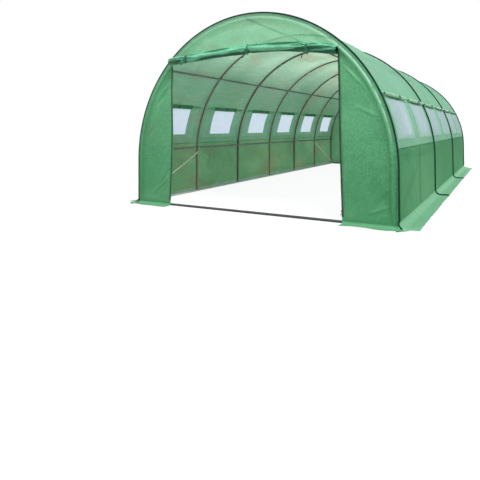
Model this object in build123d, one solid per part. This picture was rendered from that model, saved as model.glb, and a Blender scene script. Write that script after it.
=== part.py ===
"""Polytunnel greenhouse: steel hoops and rails under a sewn sheet cover, with a wide doorway in the front end.

Millimetres. +Z is up, the doorway faces -Y, +X is to the right of someone who faces the doorway.
The origin is on the ground under the middle of the tunnel.
"""

import os
from math import cos, degrees, radians, sin, sqrt

from build123d import *

# Covered tunnel
TUNNEL_WIDTH = 3000.0
TUNNEL_HEIGHT = 2000.0
TUNNEL_LENGTH = 6000.0
BAY_COUNT = 6
BAYS_PER_SHEET = 2

# Cover sheet and fits
SHEET = 2.0
SEAT_GAP = 0.3
CUT_OVERRUN = 20.0

# Steel tube diameters, and where the rails cross the arch, in degrees above the top of the legs
HOOP_TUBE = 25.0
RAIL_TUBE = 25.0
BRACE_TUBE = 19.0
WAIST_RAIL_ANGLE = 3.9
SHOULDER_RAIL_ANGLE = 43.8

# Braces: tubes flattened at each end to a tab that is bolted to the hoop
TAB_THICKNESS = 4.0
TAB_WIDTH = 24.0
TAB_LENGTH = 30.0
TAB_NECK = 40.0
TAB_ROUNDING = 1.5
BRACE_FOOT_HEIGHT = 48.0
BRACE_HEAD_DROP = 50.0

# Doorway: how far its head lies under the ridge, and how far its top corners stay inside the arch
DOOR_HEAD_DROP = 420.0
DOOR_CORNER_MARGIN = 41.0
ZIP_WIDTH = 14.0
ZIP_THICKNESS = 3.0
ZIP_HEAD_GAP = 5.0

# Rolled-up door: a loose roll, pinched where it is tied, that hangs askew and bows up between its ends
DOOR_ROLL_OVERHANG = 15.0
DOOR_ROLL_RADIUS = 50.0
DOOR_ROLL_LEFT_LIFT = 20.0
DOOR_ROLL_RIGHT_DROP = 35.0
DOOR_ROLL_BOW = 75.0
DOOR_ROLL_CORE_SHARE = 0.5
DOOR_TIE_SHARES = (-0.36, 0.03, 0.345)
TIE_THICKNESS = 2.0
DOOR_TIE_WIDTH = 16.0
DOOR_TIE_TAIL = 90.0
PINCH_SHARE = 0.82
PINCH_REACH = 55.0
DOOR_STRAP_SLACK = 1.3
ROLL_END_SHARE = 0.78

# Side windows: their sizes along the arch are lengths on the outer face of the cover
SEAM_RISE = 165.0
WINDOW_SILL_RISE = 287.0
WINDOW_RISE = 347.0
WINDOW_WIDTH = 480.0
BAND_TOP_RISE = 730.0
SCREEN_THICKNESS = 1.5
SCREEN_SIDE_LAP = 150.0
SCREEN_SILL_LAP = 50.0
SCREEN_HEAD_LAP = 12.0
WINDOW_ROLL_LENGTH = 820.0
WINDOW_ROLL_RADIUS = 18.0
WINDOW_TIE_WIDTH = 12.0
WINDOW_TIE_SHARE = 0.11
WINDOW_PINCH_REACH = 30.0

# Ground skirts and the piping over the cover's seams
SIDE_SKIRT_WIDTH = 170.0
SIDE_SKIRT_BEND = 70.0
END_SKIRT_WIDTH = 110.0
END_SKIRT_BEND = 24.0
PIPING_WIDTH = 12.0
PIPING_HEIGHT = 10.0
END_PIPING_SETBACK = 4.0
END_PIPING_TAIL = 15.0

# What follows from the sizes above
ARCH_RADIUS = TUNNEL_WIDTH / 2
LEG_HEIGHT = TUNNEL_HEIGHT - ARCH_RADIUS
HALF_LENGTH = TUNNEL_LENGTH / 2
COVER_INSIDE = ARCH_RADIUS - SHEET
END_INSIDE = HALF_LENGTH - SHEET
HOOP_RADIUS = COVER_INSIDE - SEAT_GAP - HOOP_TUBE / 2
HOOP_INSIDE = HOOP_RADIUS - HOOP_TUBE / 2
RAIL_RADIUS = HOOP_INSIDE - SEAT_GAP - RAIL_TUBE / 2
END_HOOP_Y = END_INSIDE - SEAT_GAP - HOOP_TUBE / 2
BAY = 2 * END_HOOP_Y / BAY_COUNT
HOOP_YS = [-END_HOOP_Y + i * BAY for i in range(BAY_COUNT + 1)]
SHEET_SEAM_YS = HOOP_YS[BAYS_PER_SHEET:-1:BAYS_PER_SHEET]
WINDOW_YS = [y + BAY / 2 for y in HOOP_YS[:-1]]
DOOR_HEAD = TUNNEL_HEIGHT - DOOR_HEAD_DROP
JAMB = sqrt(ARCH_RADIUS**2 - (ARCH_RADIUS - DOOR_HEAD_DROP) ** 2) - DOOR_CORNER_MARGIN
DOOR_ROLL_LENGTH = 2 * (JAMB + DOOR_ROLL_OVERHANG)
DOOR_ROLL_Y = -HALF_LENGTH - SEAT_GAP - DOOR_ROLL_RADIUS
DOOR_TIE_XS = [share * DOOR_ROLL_LENGTH for share in DOOR_TIE_SHARES]


def rise_angle(rise):
    """Angle above the leg tops of a length measured along the cover's outer face."""
    return degrees(rise / ARCH_RADIUS)


def on_arch(radius, angle):
    """Point of the cross-section (x, z) on an arch of that radius."""
    return (radius * cos(radians(angle)), LEG_HEIGHT + radius * sin(radians(angle)))


def along_y(section, start, end):
    """Section drawn in x and z, pulled into a solid between two places along the tunnel."""
    return extrude(Plane.XZ.offset(-end) * section, end - start)


def arch_strip(inner, outer, start, end):
    """Cross-section of a curved sheet between two radii and two angles."""
    centre = (0, LEG_HEIGHT)
    return make_face(
        [
            CenterArc(centre, inner, start, end - start),
            CenterArc(centre, outer, start, end - start),
            Line(on_arch(inner, start), on_arch(outer, start)),
            Line(on_arch(inner, end), on_arch(outer, end)),
        ]
    )


def mirrored(part):
    """The same piece on the left side."""
    return mirror(part, Plane.YZ)


def turned_round(part):
    """The same piece on the left side, for one whose front and rear are alike."""
    return Rot(Z=180) * part


def both_sides(name, right, to_left=mirrored):
    """The right piece and its like on the left, as two nodes."""
    return {f"{name}_right": right, f"{name}_left": to_left(right)}


# Steel frame


def hoop(y):
    """One tube bent over the tunnel, from the ground on one side to the ground on the other."""
    left, right = (-HOOP_RADIUS, LEG_HEIGHT), (HOOP_RADIUS, LEG_HEIGHT)
    bend = CenterArc((0, LEG_HEIGHT), HOOP_RADIUS, 0, 180)
    path = Wire([Line((HOOP_RADIUS, 0), right), bend, Line(left, (-HOOP_RADIUS, 0))])
    tube = Plane.XY.offset(0) * Pos(HOOP_RADIUS, y) * Circle(HOOP_TUBE / 2)
    return sweep(tube, path=Plane.XZ.offset(-y) * path)


def rail(x, z):
    """Straight tube along the inside of the hoops, from the front hoop to the rear one."""
    length = 2 * END_HOOP_Y + HOOP_TUBE
    return Pos(x, 0, z) * Rot(X=90) * Cylinder(RAIL_TUBE / 2, length)


def sill_bar(y):
    """Ground tube across an end, between the two base rails."""
    length = 2 * (RAIL_RADIUS - RAIL_TUBE / 2 - SEAT_GAP)
    return Pos(0, y, RAIL_TUBE / 2) * Rot(Y=90) * Cylinder(RAIL_TUBE / 2, length)


def flattened_tube(length):
    """Tube along X with both ends pressed flat, tab to tab, centred on the origin."""
    round_half = length / 2 - TAB_LENGTH / 2 - TAB_NECK
    tube = Rot(Y=90) * Cylinder(BRACE_TUBE / 2, 2 * round_half)
    flat_section = RectangleRounded(TAB_THICKNESS, TAB_WIDTH, TAB_ROUNDING)
    tab_plan = SlotCenterToCenter(TAB_LENGTH, TAB_WIDTH)
    tab_half = tab_plan & Pos(TAB_LENGTH, 0) * Rectangle(2 * TAB_LENGTH, 2 * TAB_WIDTH)
    parts = [tube]
    for side in (-1, 1):
        inner = Plane((side * round_half, 0, 0), x_dir=(0, 0, 1), z_dir=(side, 0, 0))
        outer = inner.offset(TAB_NECK)
        parts.append(loft([inner * Circle(BRACE_TUBE / 2), outer * flat_section]))
        tab = extrude(tab_half, TAB_THICKNESS / 2, both=True)
        parts.append(Pos(side * (round_half + TAB_NECK), 0, 0) * Rot(Z=0 if side > 0 else 180) * tab)
    return parts[0].fuse(*parts[1:])


def brace(front):
    """Right-hand brace of an end bay: from the foot of the end hoop up to the next hoop under the waist rail."""
    head_height = on_arch(RAIL_RADIUS, WAIST_RAIL_ANGLE)[1] - RAIL_TUBE / 2 - BRACE_HEAD_DROP
    foot_y, head_y = (HOOP_YS[0], HOOP_YS[1]) if front else (HOOP_YS[-1], HOOP_YS[-2])
    tab_top = head_height + TAB_WIDTH / 2
    above_leg = max(tab_top - LEG_HEIGHT, 0)
    x = sqrt(HOOP_INSIDE**2 - above_leg**2) - SEAT_GAP - TAB_THICKNESS / 2
    run, rise = head_y - foot_y, head_height - BRACE_FOOT_HEIGHT
    length = sqrt(run**2 + rise**2)
    place = Plane((x, foot_y + run / 2, BRACE_FOOT_HEIGHT + rise / 2), x_dir=(0, run, rise), z_dir=(1, 0, 0))
    return place * flattened_tube(length)


def frame_nodes():
    nodes = {f"hoop_{i + 1}": hoop(y) for i, y in enumerate(HOOP_YS)}
    nodes["ridge_rail"] = rail(*on_arch(RAIL_RADIUS, 90))
    nodes |= both_sides("shoulder_rail", rail(*on_arch(RAIL_RADIUS, SHOULDER_RAIL_ANGLE)))
    nodes |= both_sides("waist_rail", rail(*on_arch(RAIL_RADIUS, WAIST_RAIL_ANGLE)))
    nodes |= both_sides("base_rail", rail(RAIL_RADIUS, RAIL_TUBE / 2))
    nodes["front_sill_bar"] = sill_bar(HOOP_YS[0])
    nodes["rear_sill_bar"] = sill_bar(HOOP_YS[-1])
    nodes |= both_sides("front_brace", brace(True))
    nodes |= both_sides("rear_brace", brace(False))
    return nodes


# Cover sheets


def roof_sheet(start, end):
    """Curved sheet over the top, between the window bands of the two sides."""
    edge = rise_angle(BAND_TOP_RISE)
    return along_y(arch_strip(COVER_INSIDE, ARCH_RADIUS, edge, 180 - edge), start, end)


def window_angles(sill_lap, head_lap):
    """Lowest and highest angle of a window opening, widened by laps along the arch."""
    return rise_angle(WINDOW_SILL_RISE - sill_lap), rise_angle(WINDOW_SILL_RISE + WINDOW_RISE + head_lap)


def window_band():
    """Curved strip of the right side with a window cut through it in each bay."""
    strip = arch_strip(COVER_INSIDE, ARCH_RADIUS, rise_angle(SEAM_RISE), rise_angle(BAND_TOP_RISE))
    band = along_y(strip, -END_INSIDE, END_INSIDE)
    cut = arch_strip(COVER_INSIDE - CUT_OVERRUN, ARCH_RADIUS + CUT_OVERRUN, *window_angles(0, 0))
    for y in WINDOW_YS:
        band -= along_y(cut, y - WINDOW_WIDTH / 2, y + WINDOW_WIDTH / 2)
    return band


def window_screens():
    """Mesh panels sewn over the outside of the right windows, with a lap all round."""
    inner = ARCH_RADIUS + SEAT_GAP
    panel = arch_strip(inner, inner + SCREEN_THICKNESS, *window_angles(SCREEN_SILL_LAP, SCREEN_HEAD_LAP))
    half = WINDOW_WIDTH / 2 + SCREEN_SIDE_LAP
    return Compound([along_y(panel, y - half, y + half) for y in WINDOW_YS])


def side_wall():
    """Right wall from the bend of the skirt to the seam under the windows."""
    leg = Pos(ARCH_RADIUS - SHEET / 2, (SIDE_SKIRT_BEND + LEG_HEIGHT) / 2)
    leg *= Rectangle(SHEET, LEG_HEIGHT - SIDE_SKIRT_BEND)
    above = arch_strip(COVER_INSIDE, ARCH_RADIUS, 0, rise_angle(SEAM_RISE))
    return along_y(leg + above, -END_INSIDE, END_INSIDE)


def bend_section(wall_inside, bend):
    """Quarter-round section that turns a wall's sheet outwards onto the ground."""
    centre = (wall_inside + bend, bend)
    outer = CenterArc(centre, bend, 180, 90)
    inner = CenterArc(centre, bend - SHEET, 180, 90)
    return make_face([outer, inner, Line(outer @ 0, inner @ 0), Line(outer @ 1, inner @ 1)])


def flap_section(wall_inside, bend, reach):
    """Section of the flat part of a skirt, from the bend to its free edge."""
    start = wall_inside + bend
    return Pos((start + reach) / 2, SHEET / 2) * Rectangle(reach - start, SHEET)


def side_skirt():
    """Right ground skirt: bent out of the wall, then flat on the ground."""
    section = bend_section(COVER_INSIDE, SIDE_SKIRT_BEND)
    section += flap_section(COVER_INSIDE, SIDE_SKIRT_BEND, ARCH_RADIUS + SIDE_SKIRT_WIDTH)
    return along_y(section, -END_INSIDE, END_INSIDE)


def end_skirt(start, end, side):
    """Ground skirt of an end wall between two x places; side is -1 at the front and 1 at the rear."""
    section = bend_section(END_INSIDE, END_SKIRT_BEND)
    section += flap_section(END_INSIDE, END_SKIRT_BEND, HALF_LENGTH + END_SKIRT_WIDTH)
    at_front = Plane((end, 0, 0), x_dir=(0, -1, 0), z_dir=(-1, 0, 0))
    at_rear = Plane((start, 0, 0), x_dir=(0, 1, 0), z_dir=(1, 0, 0))
    return extrude((at_front if side < 0 else at_rear) * section, end - start)


def end_outline():
    """Outline of an end wall above the bend of its skirt."""
    foot = END_SKIRT_BEND
    right_foot, left_foot = (ARCH_RADIUS, foot), (-ARCH_RADIUS, foot)
    return make_face(
        [
            Line(left_foot, right_foot),
            Line(right_foot, (ARCH_RADIUS, LEG_HEIGHT)),
            CenterArc((0, LEG_HEIGHT), ARCH_RADIUS, 0, 180),
            Line((-ARCH_RADIUS, LEG_HEIGHT), left_foot),
        ]
    )


def front_pieces():
    """Front end: the gable over the doorway, and the panel at its right."""
    outline = end_outline()
    above = Pos(0, DOOR_HEAD + TUNNEL_HEIGHT / 2) * Rectangle(2 * TUNNEL_WIDTH, TUNNEL_HEIGHT)
    beside = Pos(JAMB + TUNNEL_WIDTH / 2, DOOR_HEAD / 2) * Rectangle(TUNNEL_WIDTH, DOOR_HEAD)
    gable = along_y(outline & above, -HALF_LENGTH, -END_INSIDE)
    panel = along_y(outline & beside, -HALF_LENGTH, -END_INSIDE)
    return gable, panel


def cover_nodes():
    seams = [-END_INSIDE, *SHEET_SEAM_YS, END_INSIDE]
    nodes = {f"roof_sheet_{i + 1}": roof_sheet(*pair) for i, pair in enumerate(zip(seams, seams[1:]))}
    nodes |= both_sides("window_band", window_band(), turned_round)
    nodes |= both_sides("window_screens", window_screens())
    nodes |= both_sides("side_wall", side_wall())
    nodes |= both_sides("side_skirt", side_skirt())
    gable, panel = front_pieces()
    nodes["front_gable"] = gable
    nodes |= both_sides("front_panel", panel)
    nodes |= both_sides("front_skirt", end_skirt(JAMB, COVER_INSIDE, -1))
    nodes["rear_wall"] = along_y(end_outline(), END_INSIDE, HALF_LENGTH)
    nodes["rear_skirt"] = end_skirt(-COVER_INSIDE, COVER_INSIDE, 1)
    return nodes


# Rolled-up door, rolled-up window flaps, and what ties them


def roll_stations(length, ties, reach):
    """Places along a roll and the share of its radius there: ends, tied waists, and the fullness beside them."""
    stations = [(-length / 2, ROLL_END_SHARE), (length / 2, ROLL_END_SHARE)]
    for tie in ties:
        stations += [(tie - reach, 1.0), (tie, PINCH_SHARE), (tie + reach, 1.0)]
    return sorted(stations)


def bowed_roll(stations, radius):
    """Roll along X, lofted through round sections whose centres follow the door roll's bow."""
    sections = []
    for x, share in stations:
        place = Plane((x, 0, door_roll_height(x)), x_dir=(0, 1, 0), z_dir=(1, 0, 0))
        sections.append(place * Circle(radius * share))
    return loft(sections, ruled=True)


def straight_roll(stations, radius):
    """Roll along X, turned from a profile with a waist under each tie."""
    rim = [(x, radius * share) for x, share in stations]
    profile = Polyline([(rim[0][0], 0), *rim, (rim[-1][0], 0)], close=True)
    return revolve(make_face(profile), Axis.X)


def door_roll_height(x):
    """Height of the door roll's centre line: a bow over the line between its ends."""
    left, right = DOOR_HEAD + DOOR_ROLL_LEFT_LIFT, DOOR_HEAD - DOOR_ROLL_RIGHT_DROP
    from_left_share = x / DOOR_ROLL_LENGTH + 0.5
    bow_share = 4 * from_left_share * (1 - from_left_share)
    return left + (right - left) * from_left_share + DOOR_ROLL_BOW * bow_share


def door_roll():
    stations = roll_stations(DOOR_ROLL_LENGTH, DOOR_TIE_XS, PINCH_REACH)
    roll = bowed_roll(stations, DOOR_ROLL_RADIUS)
    core = bowed_roll(stations, DOOR_ROLL_RADIUS * DOOR_ROLL_CORE_SHARE)
    return Pos(0, DOOR_ROLL_Y, 0) * (roll - core)


def strap_radius(roll_radius, width, reach, slack):
    """Inner radius of a strap that clears the roll's waist over the strap's whole width."""
    fullest_share = PINCH_SHARE + (1 - PINCH_SHARE) * (width / 2) / reach
    return roll_radius * fullest_share + slack


def tie_ring(radius, width):
    """Strap round a roll that lies along X, centred on the origin."""
    return Rot(Y=90) * extrude(Circle(radius + TIE_THICKNESS) - Circle(radius), width / 2, both=True)


def door_ties():
    """Straps round the door roll's waists, each with the end of its bow hanging down."""
    inside = strap_radius(DOOR_ROLL_RADIUS, DOOR_TIE_WIDTH, PINCH_REACH, DOOR_STRAP_SLACK)
    tail_height = DOOR_TIE_TAIL + TIE_THICKNESS
    tail = Box(DOOR_TIE_WIDTH, TIE_THICKNESS, tail_height, align=(Align.CENTER, Align.CENTER, Align.MAX))
    strap = tie_ring(inside, DOOR_TIE_WIDTH) + Pos(0, 0, -inside) * tail
    return Compound([Pos(x, DOOR_ROLL_Y, door_roll_height(x)) * strap for x in DOOR_TIE_XS])


def zip_tape(side):
    """Zip tape up a jamb, on the outside of the front panel; side is -1 at the left and 1 at the right."""
    top = door_roll_height(side * JAMB) - DOOR_ROLL_RADIUS - ZIP_HEAD_GAP
    tape = Box(ZIP_WIDTH, ZIP_THICKNESS, top - END_SKIRT_BEND, align=(Align.CENTER, Align.MAX, Align.MIN))
    return Pos(side * (JAMB + ZIP_WIDTH / 2), -HALF_LENGTH - SEAT_GAP, END_SKIRT_BEND) * tape


WINDOW_ROLL_PLACE = on_arch(
    ARCH_RADIUS + SEAT_GAP + WINDOW_ROLL_RADIUS,
    window_angles(0, SCREEN_HEAD_LAP + WINDOW_ROLL_RADIUS)[1],
)


def on_window_rolls(piece):
    """One copy of a piece made along X for each right window, laid along the tunnel above it."""
    x, z = WINDOW_ROLL_PLACE
    return Compound([Pos(x, y, z) * Rot(Z=90) * piece for y in WINDOW_YS])


def window_rolls():
    tie = WINDOW_TIE_SHARE * WINDOW_ROLL_LENGTH
    stations = roll_stations(WINDOW_ROLL_LENGTH, [tie], WINDOW_PINCH_REACH)
    return on_window_rolls(straight_roll(stations, WINDOW_ROLL_RADIUS))


def window_ties():
    tie = WINDOW_TIE_SHARE * WINDOW_ROLL_LENGTH
    inside = strap_radius(WINDOW_ROLL_RADIUS, WINDOW_TIE_WIDTH, WINDOW_PINCH_REACH, SEAT_GAP)
    return on_window_rolls(Pos(tie, 0, 0) * tie_ring(inside, WINDOW_TIE_WIDTH))


def over_cover(offset, edge):
    """Line over the cover's outer face at that offset, from one side skirt to the other, out to edge."""
    wall, level = ARCH_RADIUS + offset, SHEET + offset
    bend, bend_x = SIDE_SKIRT_BEND - SHEET - offset, COVER_INSIDE + SIDE_SKIRT_BEND
    return [
        Line((edge, level), (bend_x, level)),
        CenterArc((bend_x, SIDE_SKIRT_BEND), bend, 180, 90),
        Line((wall, SIDE_SKIRT_BEND), (wall, LEG_HEIGHT)),
        CenterArc((0, LEG_HEIGHT), wall, 0, 180),
        Line((-wall, LEG_HEIGHT), (-wall, SIDE_SKIRT_BEND)),
        CenterArc((-bend_x, SIDE_SKIRT_BEND), bend, 270, 90),
        Line((-bend_x, level), (-edge, level)),
    ]


def piping(y, edge):
    """Piping over a seam: from one skirt up the wall, over the arch and down to the other skirt."""
    inner, outer = over_cover(SEAT_GAP, edge), over_cover(SEAT_GAP + PIPING_HEIGHT, edge)
    ends = [Line(inner[0] @ 0, outer[0] @ 0), Line(inner[-1] @ 1, outer[-1] @ 1)]
    section = make_face(inner + outer + ends)
    return along_y(section, y - PIPING_WIDTH / 2, y + PIPING_WIDTH / 2)


def seam_piping():
    """Piping along both end edges and over each seam between two roof sheets."""
    end_y = HALF_LENGTH - END_PIPING_SETBACK
    tail = COVER_INSIDE + SIDE_SKIRT_BEND + END_PIPING_TAIL
    skirt_edge = ARCH_RADIUS + SIDE_SKIRT_WIDTH
    at_seams = [piping(y, skirt_edge) for y in SHEET_SEAM_YS]
    return Compound([piping(-end_y, tail), *at_seams, piping(end_y, tail)])


def trim_nodes():
    nodes = {"door_roll": door_roll(), "door_ties": door_ties(), "seam_piping": seam_piping()}
    nodes["door_zips"] = Compound([zip_tape(-1), zip_tape(1)])
    nodes |= both_sides("window_rolls", window_rolls())
    nodes |= both_sides("window_ties", window_ties())
    return nodes


def main():
    os.makedirs("parts", exist_ok=True)
    for name, shape in {**frame_nodes(), **cover_nodes(), **trim_nodes()}.items():
        export_step(shape, f"parts/{name}.step")


main()
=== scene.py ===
import math

import bpy
import numpy as np
from mathutils import Matrix, Vector


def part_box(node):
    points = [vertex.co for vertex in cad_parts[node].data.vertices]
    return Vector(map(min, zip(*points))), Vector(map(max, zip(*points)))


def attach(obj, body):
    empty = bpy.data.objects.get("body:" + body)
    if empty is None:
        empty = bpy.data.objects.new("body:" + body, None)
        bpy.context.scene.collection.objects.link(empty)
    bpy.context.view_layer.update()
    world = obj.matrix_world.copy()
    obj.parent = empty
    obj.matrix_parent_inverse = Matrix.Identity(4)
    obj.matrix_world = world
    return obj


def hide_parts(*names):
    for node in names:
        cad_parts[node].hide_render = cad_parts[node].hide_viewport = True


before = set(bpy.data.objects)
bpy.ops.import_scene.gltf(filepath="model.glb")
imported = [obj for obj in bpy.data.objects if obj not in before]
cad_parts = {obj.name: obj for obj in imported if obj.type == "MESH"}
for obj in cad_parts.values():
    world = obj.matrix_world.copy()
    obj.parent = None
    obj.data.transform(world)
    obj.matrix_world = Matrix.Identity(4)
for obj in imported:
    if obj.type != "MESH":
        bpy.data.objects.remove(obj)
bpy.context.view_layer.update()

# Sizes, in metres, taken from the frame where it has them

REAR_LOW, REAR_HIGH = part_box("rear_wall")
ARCH = REAR_HIGH.x
LEG = REAR_HIGH.z - ARCH
HALF = REAR_HIGH.y
SHEET = HALF - REAR_LOW.y
HOOPS = [f"hoop_{i}" for i in range(1, 8)]
HOOP_YS = [sum(corner.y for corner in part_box(name)) / 2 for name in HOOPS]
TUBE = 0.0125
SEAT_GAP = 0.0003
HOOP_RADIUS = ARCH - SHEET - SEAT_GAP - TUBE
BAY = HOOP_YS[1] - HOOP_YS[0]
BAY_YS = [(a + b) / 2 for a, b in zip(HOOP_YS, HOOP_YS[1:])]
SEAM_YS = [-HALF, HOOP_YS[2], HOOP_YS[4], HALF]
SIDES = ("left", "right")
BOTH_WAYS = (-1, 1)
RAILS = ["ridge_rail"]
RAILS += [f"{kind}_rail_{side}" for kind in ("shoulder", "waist", "base") for side in SIDES]
BRACES = [f"{end}_brace_{side}" for end in ("front", "rear") for side in SIDES]
ACROSS, ALONG, UP = np.eye(3)

CLOTH = ARCH - SHEET / 2
CLOTH_END = HALF - SHEET / 2
ARCH_LENGTH = ARCH * math.pi / 2
SKIRT_BEND = 0.07
SKIRT_FOLD = SKIRT_BEND - SHEET / 2
BEND_START = ARCH_LENGTH + LEG - SKIRT_BEND
FLAT_START = BEND_START + SKIRT_FOLD * math.pi / 2
SKIRT_EDGE = FLAT_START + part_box("side_skirt_right")[1].x - CLOTH - SKIRT_FOLD

SIDE_SEAM = ARCH_LENGTH - 0.165
BAND_TOP = ARCH_LENGTH - 0.730
WINDOW_SILL = ARCH_LENGTH - 0.287
WINDOW_HEAD = ARCH_LENGTH - 0.634
WINDOW_HALF = 0.24
SCREEN_SILL = WINDOW_SILL + 0.050
SCREEN_HEAD = WINDOW_HEAD - 0.012
SCREEN_HALF = WINDOW_HALF + 0.150
SCREEN_HEM = 0.014
FLAP_ROLL = WINDOW_HEAD - 0.030
FLAP_ROLL_HALF = 0.43
FLAP_ROLL_RADIUS = 0.0172
FLAP_TIE_SHIFT = 0.09

END_BEND = 0.024
END_FOLD = END_BEND - SHEET / 2
END_REACH = -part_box("front_skirt_right")[0].y - HALF
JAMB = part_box("front_panel_right")[0].x
JAMB_LEAN = 0.022
DOOR_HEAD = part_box("front_gable")[0].z
RIDGE_INSET = 0.050
RIDGE_HALF = 0.015
RIDGE_HEIGHT = 0.013
HOOP_CLEAR = 0.055

DOOR_ROLL_LOW, DOOR_ROLL_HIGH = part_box("door_roll")
DOOR_ROLL_HALF = DOOR_ROLL_HIGH.x - 0.028
DOOR_ROLL_LEFT_GAP = 0.022
DOOR_ROLL_Y = (DOOR_ROLL_LOW.y + DOOR_ROLL_HIGH.y) / 2
DOOR_ROLL_RADIUS = 0.047
DOOR_ROLL_CORE = 0.024
DOOR_ROLL_MIDDLE = DOOR_HEAD + 0.053
DOOR_ROLL_LEAN = 0.008
DOOR_ROLL_BOW = 0.075
DOOR_ROLL_DROOP = 0.038
DOOR_TIE_XS = [share * 2 * DOOR_ROLL_HIGH.x for share in (-0.36, 0.03, 0.345)]
PINCH_SHARE = 0.77
PINCH_REACH = 0.055
SEWN_AT = 1.045

# Shapes

WAVE_TURN = 6.28
WAVE_COUNT = 14
CLOTH_STEP = 0.03
TURNED_SIDES = 14


def side_word(side):
    return "right" if side > 0 else "left"


def smooth(value, start, end):
    """Soft step from 0 at start to 1 at end."""
    share = np.clip((value - start) / (end - start), 0, 1)
    return share * share * (3 - 2 * share)


def spaced(marks, step):
    """The marks in order, with even places between them no further apart than step."""
    marks = sorted(set(marks))
    places = [marks[0]]
    for a, b in zip(marks, marks[1:]):
        count = max(1, math.ceil((b - a) / step))
        places += list(np.linspace(a, b, count + 1)[1:])
    return np.array(places)


def unevenness(seed, length, stretch=1.0):
    """Smooth seeded bumps from -1 to 1 over cloth, of a usual wavelength, drawn out along v by stretch."""
    rng = np.random.default_rng(seed)
    turns = rng.uniform(0, WAVE_TURN, WAVE_COUNT)
    rates = rng.uniform(0.6, 1.7, WAVE_COUNT)
    starts = rng.uniform(0, WAVE_TURN, WAVE_COUNT)

    def at(u, v):
        total = 0
        for turn, rate, start in zip(turns, rates, starts):
            ahead = math.cos(turn) * u + math.sin(turn) * v / stretch
            total = total + np.sin(WAVE_TURN * rate / length * ahead + start)
        return np.tanh(total / 3)

    return at


def fold(u, v, start, end, width):
    """1 along the line of a fold, falling away beside it and towards its two ends."""
    length = math.dist(start, end)
    du, dv = (end[0] - start[0]) / length, (end[1] - start[1]) / length
    run = ((u - start[0]) * du + (v - start[1]) * dv) / length
    off = (v - start[1]) * du - (u - start[0]) * dv
    return np.exp(-((off / width) ** 2)) * np.sin(math.pi * np.clip(run, 0, 1))


def unit(vectors):
    return vectors / np.linalg.norm(vectors, axis=-1, keepdims=True)


def joined(x, y, z):
    """Three arrays or numbers as one array of points."""
    return np.stack(np.broadcast_arrays(x, y, z), axis=-1).astype(float)


class Piece:
    """Points and faces of one piece, with their finishes and their places on the flat cut."""

    def __init__(self):
        self.points = []
        self.cut = []
        self.faces = []
        self.zones = []
        self.count = 0

    def add(self, points, faces, zone=0, cut=None):
        points = np.reshape(points, (-1, 3))
        cut = points[:, :2] if cut is None else np.reshape(cut, (-1, 2))
        self.points.append(points)
        self.cut.append(cut)
        self.faces += [tuple(int(i) + self.count for i in face) for face in faces]
        self.zones += list(zone) if np.ndim(zone) else [zone] * len(faces)
        self.count += len(points)

    def cloth(self, u, v, place, zone_of=None, hole=None):
        """A sheet over lines u and v of its cut: hole says which faces are left out, zone_of the finish."""
        us, vs = np.meshgrid(u, v, indexing="ij")
        faces = grid_faces(len(u), len(v))
        middle_u = np.repeat(u[:-1] + np.diff(u) / 2, len(v) - 1)
        middle_v = np.tile(v[:-1] + np.diff(v) / 2, len(u) - 1)
        zones = np.zeros(len(faces), int) if zone_of is None else zone_of(middle_u, middle_v)
        if hole is not None:
            kept = ~hole(middle_u, middle_v)
            faces, zones = faces[kept], zones[kept]
        used, faces = np.unique(faces, return_inverse=True)
        points = np.reshape(place(us, vs), (-1, 3))[used]
        cut = np.stack([us.ravel(), vs.ravel()], axis=-1)[used]
        self.add(points, faces.reshape(-1, 4), zones, cut)

    def sweep(self, path, facing, section, zone=0):
        """A closed section carried along a path: its width lies to the side, its height along facing."""
        path = np.asarray(path, float)
        ahead = unit(np.gradient(path, axis=0))
        facing = np.broadcast_to(np.asarray(facing, float), path.shape)
        side = unit(np.cross(ahead, facing))
        out = np.cross(side, ahead)
        section = np.asarray(section, float)
        sideways = section[None, :, :1] * side[:, None]
        outward = section[None, :, 1:] * out[:, None]
        points = path[:, None] + sideways + outward
        run = np.concatenate([[0], np.cumsum(np.linalg.norm(np.diff(path, axis=0), axis=1))])
        cut = np.stack(np.meshgrid(run, section[:, 0], indexing="ij"), axis=-1)
        self.add(points, tube_faces(len(path), len(section)), zone, cut)

    def turned(self, profile, place):
        """A profile of (radius, height) turned about the Z axis of a place."""
        angles = np.linspace(0, 2 * math.pi, TURNED_SIDES, endpoint=False)
        rows = [joined(r * np.cos(angles), r * np.sin(angles), h) for r, h in profile]
        points = np.concatenate(rows)
        points = points @ np.array(place.to_3x3()).T + np.array(place.translation)
        self.add(points, [face[::-1] for face in tube_faces(len(profile), TURNED_SIDES)])

    def finished(self, name, finishes, replaces=()):
        """The piece as an object with its finishes, and the nodes that it stands for."""
        mesh = bpy.data.meshes.new(name)
        mesh.from_pydata(np.concatenate(self.points).tolist(), [], self.faces)
        layer = mesh.uv_layers.new(name="cut")
        corners = np.zeros(len(mesh.loops), np.int32)
        mesh.loops.foreach_get("vertex_index", corners)
        layer.data.foreach_set("uv", np.concatenate(self.cut)[corners].ravel())
        for finish in finishes:
            mesh.materials.append(finish)
        mesh.polygons.foreach_set("material_index", np.array(self.zones, np.int32))
        mesh.shade_smooth()
        piece = bpy.data.objects.new(name, mesh)
        bpy.context.scene.collection.objects.link(piece)
        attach(piece, "root")
        if replaces:
            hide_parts(*replaces)
        return piece


def grid_faces(rows, columns, closed=False):
    """Four-cornered faces over rows of points, closed round the columns or open."""
    number = np.arange(rows * columns).reshape(rows, columns)
    after = np.roll(number, -1, axis=1)
    last = columns if closed else columns - 1
    corners = [number[:-1], number[1:], after[1:], after[:-1]]
    return np.stack([c[:, :last].ravel() for c in corners], axis=-1)


def tube_faces(rows, columns):
    """Faces round a tube made of rows of points, and over its two ends."""
    count = rows * columns
    ends = [range(columns), range(count - 1, count - columns - 1, -1)]
    return [*grid_faces(rows, columns, closed=True), *ends]


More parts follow.
